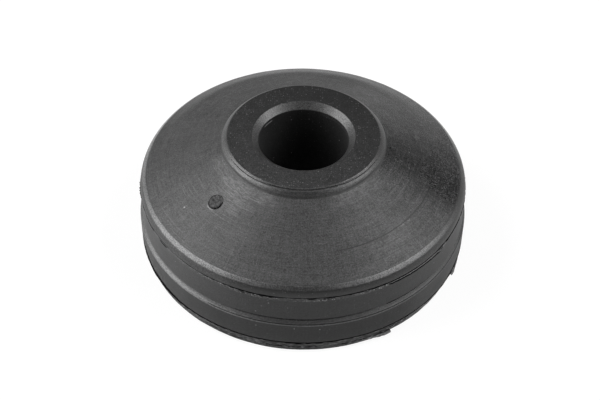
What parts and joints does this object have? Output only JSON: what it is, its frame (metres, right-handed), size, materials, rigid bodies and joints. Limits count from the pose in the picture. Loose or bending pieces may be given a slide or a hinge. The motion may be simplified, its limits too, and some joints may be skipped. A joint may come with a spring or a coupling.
{
  "type": "shock absorber mount",
  "caption": "Conical bush of solid black rubber with a central bore, a flat end face on a short collar, a rounded shoulder and a banded side wall.",
  "frame": {"origin": "centre of the flat underside, on the bore's axis", "axes": "+Z along the bore's axis, from the wide underside to the narrow end face; X and Y are free directions of a round part, and -Y faces the picture's viewer"},
  "size_m": [0.061, 0.061, 0.024],
  "materials": {
    "black_rubber": "moulded matte with a soft sheen"
  },
  "bodies": {
    "root": {"rubber_mount": "black_rubber"}
  },
  "joints": []
}
